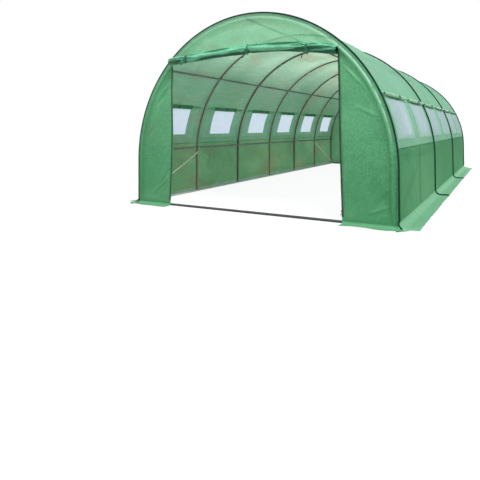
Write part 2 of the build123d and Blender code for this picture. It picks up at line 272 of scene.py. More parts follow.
def round_section(radius, sides=10):
    angles = np.linspace(0, 2 * math.pi, sides, endpoint=False)
    return np.stack([radius * np.cos(angles), radius * np.sin(angles)], axis=-1)


def tape_section(width, thickness):
    """Flat section with its corners taken off."""
    w, t, c = width / 2, thickness / 2, thickness / 3
    above = [(w, -t + c), (w, t - c), (w - c, t), (c - w, t)]
    below = [(-w, t - c), (-w, c - t), (c - w, -t), (w - c, -t)]
    return above + below


# The cover's shape


def cover_section(along):
    """Place x, z and outward normal at a distance along the cloth from the ridge, + to the right."""
    side = np.where(along < 0, -1.0, 1.0)
    far = np.abs(along)
    lean = np.clip(far / ARCH, 0, math.pi / 2)
    drop = np.clip(far - ARCH_LENGTH, 0, LEG - SKIRT_BEND)
    bend = np.clip((far - BEND_START) / SKIRT_FOLD, 0, math.pi / 2)
    flat = np.clip(far - FLAT_START, 0, None)
    x = CLOTH * np.sin(lean) + SKIRT_FOLD * (1 - np.cos(bend)) + flat
    z = LEG + CLOTH * np.cos(lean) - drop - SKIRT_FOLD * np.sin(bend)
    return side * x, z, side * (np.sin(lean) + np.cos(bend) - 1), np.cos(lean) + np.sin(bend)


cover_pucker = unevenness(3, 0.42, 2.2)
cover_crumple = unevenness(5, 0.13)
skirt_wave = unevenness(8, 0.55, 0.35)
WALL_DIP = 0.004
ROOF_DIP = 0.009
PUCKER_HEIGHT = 0.0035
CRUMPLE_HEIGHT = 0.0010
SKIRT_RIPPLE = 0.006
FOOT_RIPPLE = 0.004
RIPPLE_AT_HOOPS = 0.35


def cover_slack(along, y):
    """How far the cloth stands out from its smooth shape: dips between the hoops, ripples in the skirts."""
    far = np.abs(along)
    between = np.sin(math.pi * (y - HOOP_YS[0]) / BAY) ** 2
    above_foot = smooth(far, BEND_START + 0.02, BEND_START - 0.2)
    dip = WALL_DIP + ROOF_DIP * smooth(far, BAND_TOP + 0.1, BAND_TOP - 0.5)
    uneven = PUCKER_HEIGHT * cover_pucker(along, y) + CRUMPLE_HEIGHT * cover_crumple(along, y)
    slack = between * above_foot * (uneven - dip)
    loose = RIPPLE_AT_HOOPS + (1 - RIPPLE_AT_HOOPS) * between
    ripple = SKIRT_RIPPLE * (1 + skirt_wave(along * 0.5, y)) * smooth(far, FLAT_START - 0.01, SKIRT_EDGE)
    foot = FOOT_RIPPLE * (1 + skirt_wave(along, y + 7)) * smooth(far, BEND_START - 0.15, BEND_START + 0.05)
    return slack + loose * (ripple + foot * smooth(far, FLAT_START + 0.02, BEND_START))


def on_cover(along, y, lift=0.0):
    """A point on the cover, lifted off its cloth."""
    x, z, out_x, out_z = cover_section(np.asarray(along, float))
    lift = cover_slack(along, y) + lift
    return joined(x + lift * out_x, y, z + lift * out_z)


def over_cover(far_end, y, lift):
    """A path over the tunnel from one side to the other, with the outward way at each of its points."""
    bends = [bend for bend in (BEND_START, FLAT_START) if bend < far_end]
    along = spaced([-far_end, *(-bend for bend in bends), 0, *bends, far_end], CLOTH_STEP)
    _, _, out_x, out_z = cover_section(along)
    return on_cover(along, y, lift), joined(out_x, 0, out_z)


def rise_lines():
    """The cover's mesh lines from skirt edge to skirt edge, with one at each seam and window edge."""
    edges = [SKIRT_EDGE, FLAT_START, BEND_START, ARCH_LENGTH, SIDE_SEAM]
    edges += [SCREEN_SILL, WINDOW_SILL, WINDOW_HEAD, SCREEN_HEAD]
    fine = [BEND_START + (FLAT_START - BEND_START) * share for share in (0.2, 0.4, 0.6, 0.8)]
    lines = edges + fine
    return spaced([-line for line in lines] + [0] + lines, CLOTH_STEP)


def off_window(y):
    """Distance along the tunnel from the middle of the nearest window."""
    return np.min([np.abs(y - middle) for middle in BAY_YS], axis=0)


def in_window(along, y):
    far = np.abs(along)
    level = (far > WINDOW_HEAD) & (far < WINDOW_SILL)
    return level & (off_window(y) < WINDOW_HALF)


def cover_zone(along, y):
    """Roof and window band 0, cloth behind the window screens 1, wall 2, skirt 3."""
    far = np.abs(along)
    behind_screen = (far > SCREEN_HEAD) & (far < SCREEN_SILL) & (off_window(y) < SCREEN_HALF)
    return behind_screen + 2 * (far > SIDE_SEAM) + (far > BEND_START + 0.02)


def cover_length(name, start, end, replaces):
    """One sewn length of the cover, from skirt edge to skirt edge, with its windows cut out."""
    inset = SHEET if start == -HALF else 0
    outset = SHEET if end == HALF else 0
    marks = [start + inset, end - outset] + [y for y in HOOP_YS if start < y < end]
    windows = [y for y in BAY_YS if start < y < end]
    marks += [y + way * half for y in windows for way in BOTH_WAYS for half in (WINDOW_HALF, SCREEN_HALF)]
    piece = Piece()
    piece.cloth(rise_lines(), spaced(marks, CLOTH_STEP), on_cover, cover_zone, in_window)
    cloth = piece.finished(name, COVER_FINISHES, replaces)
    across, long = 2 * SKIRT_EDGE, end - start
    holes = 2 * len(windows) * 2 * WINDOW_HALF * (WINDOW_SILL - WINDOW_HEAD)
    across * long - holes


# End walls

gable_pucker = unevenness(11, 0.30, 0.7)
panel_pucker = unevenness(12, 0.34, 1.8)
rear_pucker = unevenness(13, 0.5, 1.3)
end_ripple = unevenness(14, 0.4)
FRONT_SINK = 0.010
REAR_SINK = 0.012
SINK_REACH = 0.12
SLACK_REACH = 0.14
GABLE_SLACK = 0.004
PANEL_SLACK = 0.005
REAR_SLACK = 0.006
CREASE_LOW = 1.60
CREASE_TOP = 1.86
CREASE_LEANS = (0.10, -0.12, -0.16)
PLEAT_REACH = 0.085
PLEAT_RISE = 0.030


def inside_edge(x, z):
    """How far a point of an end wall lies inside the edge of the arch."""
    return np.where(z > LEG, ARCH - np.hypot(x, z - LEG), ARCH - np.abs(x))


def hoop_ridge(x, z):
    """The crease where the cloth of an end wall comes round its hoop and turns inwards."""
    return np.exp(-(((inside_edge(x, z) - RIDGE_INSET) / RIDGE_HALF) ** 2)) * smooth(z, 0.03, 0.15)


def end_edge(z):
    """Half the width of an end wall at a height: it spreads a little at the foot, as the side skirts do."""
    above = np.clip(z - LEG, 0, ARCH)
    below = np.clip((SKIRT_BEND - z) / SKIRT_FOLD, 0, 0.8)
    spread = SKIRT_FOLD * (1 - np.sqrt(1 - below**2))
    return np.sqrt(np.clip(ARCH**2 - above**2, 0, None)) - 0.001 + spread


def jamb_line(side, z):
    """The door's edge on one side: the left one hangs a little wavy."""
    wave = 0.006 * np.sin(5.2 * z + 0.6) * smooth(z, 1.55, 1.2) + 0.010 * smooth(z, 0.35, 0.05)
    lean = JAMB_LEAN * np.clip(z, 0, DOOR_HEAD) / DOOR_HEAD
    return JAMB - lean + (wave if side < 0 else 0.3 * wave)


PANEL_FOLDS = {
    1: [
        (-0.013, (1.01, 1.42), (1.25, 1.17), 0.011),
        (0.009, (1.03, 1.44), (1.28, 1.19), 0.013),
        (0.012, (1.04, 1.54), (1.10, 1.36), 0.010),
        (-0.007, (1.10, 1.06), (1.38, 0.92), 0.016),
        (0.010, (1.30, 0.16), (1.48, 0.36), 0.014),
        (-0.010, (1.24, 0.10), (1.48, 0.20), 0.012),
        (-0.008, (1.36, 0.08), (1.48, 0.12), 0.010),
        (0.006, (1.36, 0.52), (1.46, 0.62), 0.010),
    ],
    -1: [
        (-0.010, (1.01, 1.38), (1.22, 1.20), 0.012),
        (0.008, (1.03, 1.30), (1.26, 1.10), 0.015),
        (0.010, (1.00, 0.46), (1.22, 0.14), 0.016),
        (-0.010, (1.02, 0.34), (1.30, 0.10), 0.014),
        (-0.009, (1.05, 0.80), (1.10, 0.25), 0.020),
        (0.007, (1.20, 0.95), (1.42, 0.70), 0.016),
    ],
}


def panel_sink(side, x, z):
    """How far the front panels hang in behind the front hoop, with the folds pulled into them."""
    off = np.abs(x)
    deep = FRONT_SINK * smooth(inside_edge(x, z), HOOP_CLEAR, SINK_REACH) * smooth(z, 0.03, 0.2)
    slack = panel_pucker(x + 2 * side, z) * PANEL_SLACK
    for depth, start, end, width in PANEL_FOLDS[side]:
        slack += depth * fold(off, z, start, end, width)
    slack = slack * smooth(inside_edge(x, z), HOOP_CLEAR, SLACK_REACH) * smooth(z, 0.03, 0.12)
    return deep + slack - RIDGE_HEIGHT * hoop_ridge(x, z)


def gable_sink(x, z):
    """The gable hangs in behind the hoop, with creases pulled up from the ties of the rolled door."""
    slack = gable_pucker(x, z) * GABLE_SLACK
    for tie, lean in zip(DOOR_TIE_XS, CREASE_LEANS):
        top = (tie + lean, CREASE_TOP - 0.35 * abs(tie) ** 2)
        slack -= 0.005 * fold(x, z, (tie, CREASE_LOW), top, 0.018)
        slack += 0.004 * fold(x, z, (tie + 0.05, CREASE_LOW), (top[0] + 0.12, top[1] - 0.05), 0.016)
    behind_hoop = smooth(inside_edge(x, z), HOOP_CLEAR, SINK_REACH)
    return (FRONT_SINK + slack) * behind_hoop - RIDGE_HEIGHT * hoop_ridge(x, z)


def end_foot(row):
    """Skirt of an end wall below its rows 0 and up: how far out it runs, and how high it lies."""
    bent = np.clip(-row / END_FOLD, 0, math.pi / 2)
    flat = np.clip(-row - END_FOLD * math.pi / 2, 0, None)
    high = END_BEND - END_FOLD * np.sin(bent) + np.clip(row, 0, None)
    return END_FOLD * (1 - np.cos(bent)) + flat, high


END_SKIRT_LENGTH = END_FOLD * math.pi / 2 + END_REACH + SHEET / 2 - END_FOLD


def end_rows(top, step):
    """Rows of an end wall by height over its skirt's bend, closer together where the arch closes in."""
    curved = [LEG + ARCH * math.sin(t) for t in np.linspace(0, math.asin((top - LEG) / ARCH), 40)]
    marks = [-END_SKIRT_LENGTH, -END_FOLD * math.pi / 2, -END_FOLD * 0.8, -END_FOLD * 0.4, 0]
    return spaced(marks + [z - END_BEND for z in curved], step)


def skirt_lift(x, row, shift=0):
    """How far the ripples of an end wall's skirt stand off the ground."""
    return SKIRT_RIPPLE * (1 + end_ripple(x, row + shift)) * smooth(-row, 0.05, END_SKIRT_LENGTH)


def end_zone(share, row):
    """Wall 0, skirt 1."""
    return (row < 0).astype(int)


def front_panel(side, replaces):
    """One side of the front end, from its skirt up to the door head."""

    def place(share, row):
        out, z = end_foot(row)
        inner = jamb_line(side, z)
        x = side * (inner + np.abs(share) * (end_edge(z) - inner))
        y = -CLOTH_END - out + panel_sink(side, x, z) * (row > 0)
        return joined(x, y, z + skirt_lift(x, row))

    piece = Piece()
    shares = side * np.linspace(0, 1, 64)
    piece.cloth(shares, end_rows(DOOR_HEAD, 0.009), place, end_zone)
    corner_pleat(piece, side, -1)
    name = f"front_panel_cloth_{side_word(side)}"
    cloth = piece.finished(name, PANEL_FINISHES, replaces)


def corner_pleat(piece, side, end):
    """Fold of cloth that closes the corner between an end skirt and a side skirt."""
    turns, reaches = 7, 9
    turn, reach = np.meshgrid(np.linspace(0, 1, turns), np.linspace(0, 1, reaches), indexing="ij")
    far = END_REACH * (1 - turn) + PLEAT_REACH * turn
    angle = turn * math.pi / 2
    curl = SHEET / 2 + PLEAT_RISE * (1 - smooth(reach, 0.0, 0.45))
    curl = curl + SKIRT_RIPPLE * np.sin(math.pi * turn) * reach
    x = side * (CLOTH - 0.001 + far * reach * np.sin(angle) + 0.012 * turn)
    y = end * (CLOTH_END + far * reach * np.cos(angle))
    faces = grid_faces(turns, reaches)
    faces = faces if side * end > 0 else faces[:, ::-1]
    piece.add(joined(x, y, curl), faces, 1, np.stack([turn * 0.2, reach * 0.1], axis=-1))


def gable():
    """The front end over the doorway."""
    reach = math.sqrt(ARCH**2 - (DOOR_HEAD - LEG) ** 2) - 0.002

    def place(x, share):
        top = LEG + np.sqrt((ARCH - 0.001) ** 2 - x**2)
        low = np.minimum(np.maximum(DOOR_HEAD, door_roll_height(x) - 0.015), top - 0.001)
        z = low + share * (top - low)
        return joined(x, -CLOTH_END + gable_sink(x, z), z)

    piece = Piece()
    piece.cloth(np.linspace(-reach, reach, 240), np.linspace(0, 1, 56), place)
    cloth = piece.finished("front_gable_cloth", [GABLE_SHEET], ["front_gable"])


def rear_wall():
    """The closed rear end with its skirt."""

    def place(share, row):
        out, z = end_foot(row)
        x = share * end_edge(z)
        lift = skirt_lift(x, row, 3)
        sink = REAR_SINK * smooth(inside_edge(x, z), HOOP_CLEAR, SLACK_REACH) * smooth(z, 0.03, 0.2)
        pucker = REAR_SLACK * rear_pucker(x, z) * smooth(inside_edge(x, z), HOOP_CLEAR, 0.3)
        sink += pucker * smooth(z, 0.03, 0.3)
        sink -= RIDGE_HEIGHT * hoop_ridge(x, z)
        return joined(x, CLOTH_END + out - sink * (row > 0), z + lift)

    piece = Piece()
    piece.cloth(np.linspace(1, -1, 110), end_rows(REAR_HIGH.z - 0.002, 0.022), place, end_zone)
    for side in BOTH_WAYS:
        corner_pleat(piece, side, 1)
    cloth = piece.finished("rear_wall_cloth", PANEL_FINISHES, ["rear_wall", "rear_skirt"])


# Rolled-up door and window flaps. Angles round a roll go up from its inner side

LED_OFF_AT = math.radians(110)
LAP_AT = math.radians(198)
GROOVE_AT = math.radians(150)
KNOT_AT = math.radians(200)
DOOR_END_SHARE = 0.80
FLAP_END_SHARE = 0.86
DOOR_TURNS = 7
FLAP_TURNS = 5.5
FLAP_CORE = 0.006
DOOR_STRAP = 0.019
DOOR_KNOT = 0.026
DOOR_TAIL = 0.011
DOOR_TAIL_DROPS = ((0.055, 0.04), (0.075, 0.05), (0.085, 0.06))
DOOR_TAIL_SWAYS = (-0.030, 0.034)
FLAP_STRAP = 0.012
FLAP_KNOT = 0.012
FLAP_TAIL = 0.009
FLAP_TAIL_DROP = 0.030
STRAP_THICKNESS = 0.0016


def wound_sheet(piece, spots, toward, up, share, dents, core, radius, turns, per_turn):
    """A sheet wound up along the line of spots, from its core out, and led off to where it is sewn."""
    sweep = np.linspace(0, turns * 2 * math.pi, int(turns * per_turn) + 1)
    angle = LED_OFF_AT + (sweep[-1] - sweep)
    reach = core + (radius - core) * sweep / sweep[-1]
    size = reach[None, :] * share[:, None] * (1 + dents(angle))
    across, high = size * np.cos(angle), size * np.sin(angle)
    last_across, last_high = across[:, -1:], high[:, -1:]
    led = np.array([0.3, 0.6, 0.85, 1.0])
    seam = radius * SEWN_AT
    led_across = last_across + led * (seam - last_across)
    led_high = last_high + (0.35 * radius) * led**1.5
    across = np.concatenate([across, led_across], axis=1)[:, :, None]
    high = np.concatenate([high, led_high], axis=1)[:, :, None]
    points = spots[:, None] + across * toward[:, None] + high * up[:, None]
    length = np.concatenate([[0], np.cumsum(np.linalg.norm(np.diff(points[0], axis=0), axis=1))])
    run = np.linalg.norm(spots - spots[0], axis=1)
    cut = np.stack(np.meshgrid(run, length, indexing="ij"), axis=-1)
    piece.add(points, grid_faces(points.shape[0], points.shape[1]), 0, cut)
    return length[-1]


def pinched(x, ties, reach, half, end_share):
    """Share of a roll's fullness along it: less at its ends, and least where a strap ties it."""
    share = end_share + (1 - end_share) * smooth(half - np.abs(x), 0, 0.12)
    for tie in ties:
        share = np.minimum(share, PINCH_SHARE + (1 - PINCH_SHARE) * smooth(np.abs(x - tie), 0.004, reach))
    return share


def door_roll_height(x):
    """The roll's middle: bowed up between its ends, and drooping at the right."""
    share = x / DOOR_ROLL_HIGH.x
    leaning = DOOR_ROLL_MIDDLE + DOOR_ROLL_LEAN * share
    return leaning - DOOR_ROLL_BOW * share**2 - DOOR_ROLL_DROOP * share**3


def door_roll():
    """The door, wound up from its foot and tied under the gable."""
    x = spaced([-DOOR_ROLL_HALF + DOOR_ROLL_LEFT_GAP, *DOOR_TIE_XS, DOOR_ROLL_HALF], 0.013)
    spots = joined(x, DOOR_ROLL_Y, door_roll_height(x))
    share = pinched(x, DOOR_TIE_XS, PINCH_REACH, DOOR_ROLL_HALF, DOOR_END_SHARE)
    lump, crease, twist = unevenness(21, 0.35), unevenness(22, 0.9), unevenness(23, 0.5)
    near_tie = np.max([np.exp(-((np.abs(x - tie) - 0.045) / 0.03) ** 2) for tie in DOOR_TIE_XS], axis=0)

    def dents(angle):
        place, ring = np.meshgrid(x, angle, indexing="ij")
        rough = lump(place, 0.2 * np.cos(ring)) + lump(place + 3, 0.2 * np.sin(ring))
        fine = crease(place, 1.3 * np.cos(ring)) * crease(place + 5, 1.3 * np.sin(ring))
        pulled = near_tie[:, None] * np.cos(7 * ring + 2 * crease(place, 0))
        lap = (ring - LAP_AT - 0.30 * twist(place, 0)) % (2 * math.pi)
        tucked = smooth(lap, 0, 0.16) * smooth(lap, 2.0, 0.5)
        upper = (ring - GROOVE_AT - 0.45 * twist(place + 7, 0)) % (2 * math.pi)
        groove = np.exp(-(((upper - 0.2) / 0.13) ** 2))
        wrinkled = 0.035 * rough - 0.085 * np.abs(fine) + 0.065 * pulled
        return wrinkled - 0.13 * tucked - 0.06 * groove + 0.01

    piece = Piece()
    toward, up = np.tile(ALONG, (len(x), 1)), np.tile(UP, (len(x), 1))
    sizes = (DOOR_ROLL_CORE, DOOR_ROLL_RADIUS, DOOR_TURNS, 36)
    length = wound_sheet(piece, spots, toward, up, share, dents, *sizes)
    cloth = piece.finished("rolled_door", [ROLLED_SHEET], ["door_roll"])


def flap_roll_axes(side, y):
    """Middle line of a rolled window flap, the way towards the cover, and the way up along it."""
    along = side * FLAP_ROLL
    x, z, out_x, out_z = cover_section(np.array(along))
    off = FLAP_ROLL_RADIUS * SEWN_AT + SHEET / 2 + 0.0006
    spots = joined(x + off * out_x, y, z + off * out_z)
    toward = np.tile([-out_x, 0, -out_z], (len(spots), 1))
    up = np.tile([-side * out_z, 0, side * out_x], (len(spots), 1))
    return spots, toward, up


def flap_roll(side, bay, middle):
    """One window's flap, wound up over its window."""
    y = spaced([-FLAP_ROLL_HALF, 0, FLAP_TIE_SHIFT, FLAP_ROLL_HALF], 0.028)
    spots, toward, up = flap_roll_axes(side, middle + y)
    share = pinched(y, [FLAP_TIE_SHIFT], 0.03, FLAP_ROLL_HALF, FLAP_END_SHARE)
    lump = unevenness(40 + bay + (10 if side > 0 else 0), 0.3)

    def dents(angle):
        place, ring = np.meshgrid(y, angle, indexing="ij")
        return 0.04 * (lump(place, 0.1 * np.cos(ring)) + lump(place + 2, 0.1 * np.sin(ring))) - 0.05

    piece = Piece()
    sizes = (FLAP_CORE, FLAP_ROLL_RADIUS, FLAP_TURNS, 14)
    length = wound_sheet(piece, spots, toward, up, share, dents, *sizes)
    word = side_word(side)
    name = f"window_flap_{word}_{bay}"
    cloth = piece.finished(name, [FLAP_SHEET], [f"window_rolls_{word}"])


def strap_loop(piece, spot, toward, up, radius, width, thickness=0.002):
    """A strap round a roll."""
    angle = np.linspace(0, 2 * math.pi, 33)
    out = np.cos(angle)[:, None] * toward + np.sin(angle)[:, None] * up
    piece.sweep(spot + radius * out, out, tape_section(width, thickness))


def strap_tail(piece, start, out, side, length, width, lean):
    """A loose strap end hanging from its knot, swaying to one side."""
    run = np.linspace(0, 1, 12)
    sway = (lean * run + 0.012 * np.sin(5 * run))[:, None] * side
    away = (0.010 * np.sin(math.pi * run) + 0.004)[:, None] * out
    path = start - length * run[:, None] * UP + sway + away
    piece.sweep(path, out, tape_section(width, STRAP_THICKNESS))


def knot(piece, spot, out, side, size):
    """A small knot: two short turns of the strap drawn tight across each other."""
    for lean in (-0.6, 0.6):
        way = unit(math.cos(lean) * UP + math.sin(lean) * side)
        run = np.linspace(-1, 1, 11)[:, None]
        path = spot + 0.5 * size * run * way + 0.35 * size * (1 - run**2) * out
        piece.sweep(path, out, tape_section(0.7 * size, 0.28 * size))


def door_ties():
    """Straps round the rolled door, each with its knot and loose ends."""
    piece = Piece()
    out = math.cos(KNOT_AT) * ALONG + math.sin(KNOT_AT) * UP
    for tie, drops in zip(DOOR_TIE_XS, DOOR_TAIL_DROPS):
        spot = np.array([tie, DOOR_ROLL_Y, door_roll_height(tie)])
        radius = DOOR_ROLL_RADIUS * PINCH_SHARE + 0.0015
        strap_loop(piece, spot, ALONG, UP, radius, DOOR_STRAP)
        front = spot + (radius + 0.002) * out
        knot(piece, front, -ALONG, ACROSS, DOOR_KNOT)
        for length, sway in zip(drops, DOOR_TAIL_SWAYS):
            strap_tail(piece, front + 0.003 * out, -ALONG, ACROSS, length, DOOR_TAIL, sway)
    piece.finished("door_straps", [STRAP_TAPE], ["door_ties"])


def window_ties(side):
    """Straps round the rolled window flaps."""
    piece = Piece()
    word = side_word(side)
    for middle in BAY_YS:
        spots, toward, up = flap_roll_axes(side, np.array([middle + FLAP_TIE_SHIFT]))
        radius = FLAP_ROLL_RADIUS * PINCH_SHARE + 0.0012
        strap_loop(piece, spots[0], toward[0], up[0], radius, FLAP_STRAP, STRAP_THICKNESS)
        front = spots[0] - (radius + 0.001) * toward[0]
        knot(piece, front, -toward[0], ALONG, FLAP_KNOT)
        strap_tail(piece, front, -toward[0], ALONG, FLAP_TAIL_DROP, FLAP_TAIL, 0.012)
    piece.finished(f"window_straps_{word}", [DARK_TAPE], [f"window_ties_{word}"])


# Windows, seams and zips

SCREEN_LIFT = 0.0022
SCREEN_SLACK = 0.0025
SCREEN_BILLOW = 0.0022
HEADER_HALF = 0.25
HEADER_POINTS = 20
ZIP_WIDTH = 0.014
ZIP_LOW = 0.06
ZIP_PITCH = 0.006
ZIP_SLIDER = 0.11


def window_screen(side, bay, middle):
    """Mesh panel sewn over the outside of one window, with its hem."""
    billow = unevenness(60 + bay + (10 if side > 0 else 0), 0.35)

    def place(far, y):
        level = np.minimum(far - SCREEN_HEAD, SCREEN_SILL - far)
        loose = smooth(np.minimum(SCREEN_HALF - np.abs(y - middle), level), 0.0, 0.10)
        slack = SCREEN_SLACK + SCREEN_BILLOW * billow(far, y)
        return on_cover(side * far, y, SCREEN_LIFT + loose * slack)

    hems = [SCREEN_HEAD + SCREEN_HEM, SCREEN_SILL - SCREEN_HEM]
    far = spaced([SCREEN_HEAD, *hems, WINDOW_HEAD, WINDOW_SILL, SCREEN_SILL], 0.02)
    halves = (SCREEN_HALF, SCREEN_HALF - SCREEN_HEM, WINDOW_HALF)
    y = spaced([middle + way * half for way in BOTH_WAYS for half in halves], 0.02)

    def zone(far, y):
        """Over the opening 0, lapped over the cover 1, hem 2."""
        beside = np.abs(y - middle)
        inside = (far > hems[0]) & (far < hems[1]) & (beside < SCREEN_HALF - SCREEN_HEM)
        lapped = (far < WINDOW_HEAD) | (far > WINDOW_SILL) | (beside > WINDOW_HALF)
        return np.where(inside, lapped.astype(int), 2)

    piece = Piece()
    piece.cloth(far if side > 0 else far[::-1], y, place, zone)
    word = side_word(side)
    name = f"window_screen_{word}_{bay}"
    cloth = piece.finished(name, SCREEN_FINISHES, [f"window_screens_{word}"])
    cover = COVER_NAMES[(bay - 1) // 2]


def window_headers():
    """Folded header sewn inside over each window, with the strap that gathers it."""
    piece = Piece()
    wide, thick, reach = 0.027, 0.0060, 0.024
    turn = np.linspace(0, 2 * math.pi, 12, endpoint=False)
    section = np.stack([wide * np.cos(turn), thick * np.sin(turn)], axis=-1)
    for side in BOTH_WAYS:
        along = side * (WINDOW_HEAD - 0.026)
        _, _, out_x, out_z = cover_section(np.array(along))
        inward = np.array([-out_x, 0, -out_z])
        for middle in BAY_YS:
            y = middle + np.linspace(-HEADER_HALF, HEADER_HALF, HEADER_POINTS)
            path = on_cover(np.full(len(y), along), y, -0.0075)
            piece.sweep(path, inward, section, 0)
            strap = path[HEADER_POINTS // 2 - 1] + 0.012 * ALONG + 0.0062 * inward
            across = np.linspace(-reach, reach, 7)[:, None] * np.array([-out_z, 0, out_x])
            sunk = 0.004 * (np.abs(across) / reach) ** 2 * inward
            piece.sweep(strap + across - sunk, inward, tape_section(0.014, 0.0016), 1)
    piece.finished("window_headers", [HEADER_SHEET, DARK_TAPE])


PIPING_BEAD = 0.0080
PIPING_INSET = 0.006
FLANGE_WIDTH = 0.026
FLANGE_THICKNESS = 0.0012
PIPING_FOOT = [
    (0.0, 0.0, 0.075),
    (-0.009, 0.003, 0.052),
    (-0.005, 0.010, 0.034),
    (0.012, 0.020, 0.016),
    (0.024, 0.030, 0.012),
]


def end_piping(line, lift):
    """Path of the piping round one end: down both legs, and turned out where it meets the ground."""
    path, out = over_cover(BEND_START, line, lift)
    bends = range(len(PIPING_FOOT))
    turns = spaced(bends, 0.25)
    inset, outset, high = (np.interp(turns, bends, values) for values in zip(*PIPING_FOOT))
    foot = joined(ARCH + lift + inset, line + math.copysign(1, line) * outset, high)[1:]
    left = foot[::-1] * [-1, 1, 1]
    outward = np.tile(ACROSS, (len(foot), 1))
    return np.concatenate([left, path, foot]), np.concatenate([-outward, out, outward])


def seam_piping():
    """Dark piping in the cover's cross seams and round both ends, each with its stitched flange."""
    piece = Piece()
    lift = PIPING_BEAD + 0.0008
    for y in SEAM_YS:
        if abs(y) == HALF:
            line = math.copysign(HALF - PIPING_INSET, y)
            path, out = end_piping(line, lift)
            flange_line = line - math.copysign(FLANGE_WIDTH / 2, y)
            flange, flange_out = over_cover(BEND_START, flange_line, FLANGE_THICKNESS)
        else:
            path, out = over_cover(SKIRT_EDGE - 0.002, y, lift)
            flange, flange_out = over_cover(SKIRT_EDGE - 0.002, y, FLANGE_THICKNESS)
        piece.sweep(path, out, round_section(PIPING_BEAD))
        piece.sweep(flange, flange_out, tape_section(FLANGE_WIDTH, FLANGE_THICKNESS), 1)
    piece.finished("piping", [DARK_PIPING, FLANGE_TAPE], ["seam_piping"])


def side_seams():
    """Lapped seams along both sides under the windows."""
    piece = Piece()
    y = spaced([-CLOTH_END + 0.004, CLOTH_END - 0.004], CLOTH_STEP)
    for side in BOTH_WAYS:
        _, _, out_x, out_z = cover_section(np.array(side * SIDE_SEAM))
        path = on_cover(np.full(len(y), side * SIDE_SEAM), y, 0.0010)
        piece.sweep(path, np.array([out_x, 0, out_z]), tape_section(0.008, 0.0014))
    piece.finished("side_seams", [SEAM_SHEET])


def door_zips():
    """Zip halves down both jambs: tape, teeth along its edge, and the slider resting low."""
    piece = Piece()
    high = DOOR_HEAD - 0.02
    face = -HALF - 0.0012
    z = np.linspace(ZIP_LOW, high, 60)
    for side in BOTH_WAYS:
        edge = side * jamb_line(side, z)
        path = joined(edge + side * ZIP_WIDTH / 2, face, z)
        piece.sweep(path, -ALONG, tape_section(ZIP_WIDTH, 0.0014))
        for height in np.arange(ZIP_LOW, high, ZIP_PITCH):
            spot = np.array([side * (jamb_line(side, height) - 0.0005), face - 0.0008, height])
            path = spot + np.array([[-0.0025, 0, 0], [0.0025, 0, 0]])
            piece.sweep(path, -ALONG, tape_section(0.0034, 0.0022), 1)
        spot = np.array([side * jamb_line(side, ZIP_SLIDER), face - 0.003, ZIP_SLIDER])
        path = spot + np.linspace(-0.008, 0.008, 5)[:, None] * UP
        piece.sweep(path, -ALONG, tape_section(0.011, 0.006), 1)
        pull = spot + np.array([0, -0.004, -0.004])
        strap_tail(piece, pull, -ALONG, ACROSS, 0.032, 0.006, 0.004 * side)
    piece.finished("jamb_zips", [DARK_TAPE, ZIP_TEETH], ["door_zips"])


# Fittings of the frame

WASHER = [(0.0098, 0.0), (0.0098, 0.0012)]
BOLT_HEAD = WASHER + [(0.0068, 0.0013), (0.0066, 0.0026), (0.0050, 0.0042), (0.0020, 0.0049)]
BOLT_SINK = 0.0004
BRACE_BOLT_INSET = 0.014
BRACE_TAB_HALF = 0.002
HOOP_JOINTS = (62, 118)
HOOP_JOINT_HALF = 1.1
RAIL_JOINT_SHIFT = 0.07
SWAGE = 0.0005
SWAGE_LIP = 0.0009


def node_middle(name):
    low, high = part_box(name)
    return (low + high) / 2


def bolt(piece, at, inward):
    """A round-headed bolt with its washer, its head facing inward."""
    turn = inward.to_track_quat("Z", "Y").to_matrix().to_4x4()
    piece.turned(BOLT_HEAD, Matrix.Translation(at) @ turn)


def frame_bolts():
    """Bolts where rails cross hoops and where braces end."""
    piece = Piece()
    for rail in RAILS:
        spot = node_middle(rail)
        lean = math.atan2(max(spot.z - LEG, 0), spot.x)
        inward = Vector((-math.cos(lean), 0, -math.sin(lean)))
        for y in HOOP_YS:
            bolt(piece, Vector((spot.x, y, spot.z)) + inward * (TUBE - BOLT_SINK), inward)
    for brace in BRACES:
        low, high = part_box(brace)
        side = math.copysign(1, low.x)
        near, far = (low.y, high.y) if brace.startswith("front") else (high.y, low.y)
        step = math.copysign(BRACE_BOLT_INSET, far - near)
        face = (low.x + high.x) / 2 - side * BRACE_TAB_HALF
        for y, z in ((near + step, low.z + BRACE_BOLT_INSET), (far - step, high.z - BRACE_BOLT_INSET)):
            bolt(piece, (face, y, z), Vector((-side, 0, 0)))
    piece.finished("frame_bolts", [BOLT_ZINC])


def tube_joints():
    """Swaged joints where lengths of tube push together: hoops above the shoulders, rails beside a hoop."""
    piece = Piece()
    section = round_section(TUBE + SWAGE, 20)
    lip = round_section(TUBE + SWAGE_LIP, 20)
    for y in HOOP_YS:
        for middle in HOOP_JOINTS:
            angle = np.radians(middle + np.linspace(-HOOP_JOINT_HALF, HOOP_JOINT_HALF, 6))
            path = joined(HOOP_RADIUS * np.cos(angle), y, LEG + HOOP_RADIUS * np.sin(angle))
            piece.sweep(path, ALONG, section)
    for rail in [name for name in RAILS if not name.startswith("base")]:
        spot = node_middle(rail)
        for y in (HOOP_YS[2] + RAIL_JOINT_SHIFT, HOOP_YS[4] + RAIL_JOINT_SHIFT):
            for inset, ring in ((0.030, section), (0.003, lip)):
                piece.sweep(joined(spot.x, y + np.linspace(-inset, inset, 3), spot.z), UP, ring)
    piece.finished("tube_joints", [JOINT_STEEL])


# Finishes

CYCLE = 6.2832


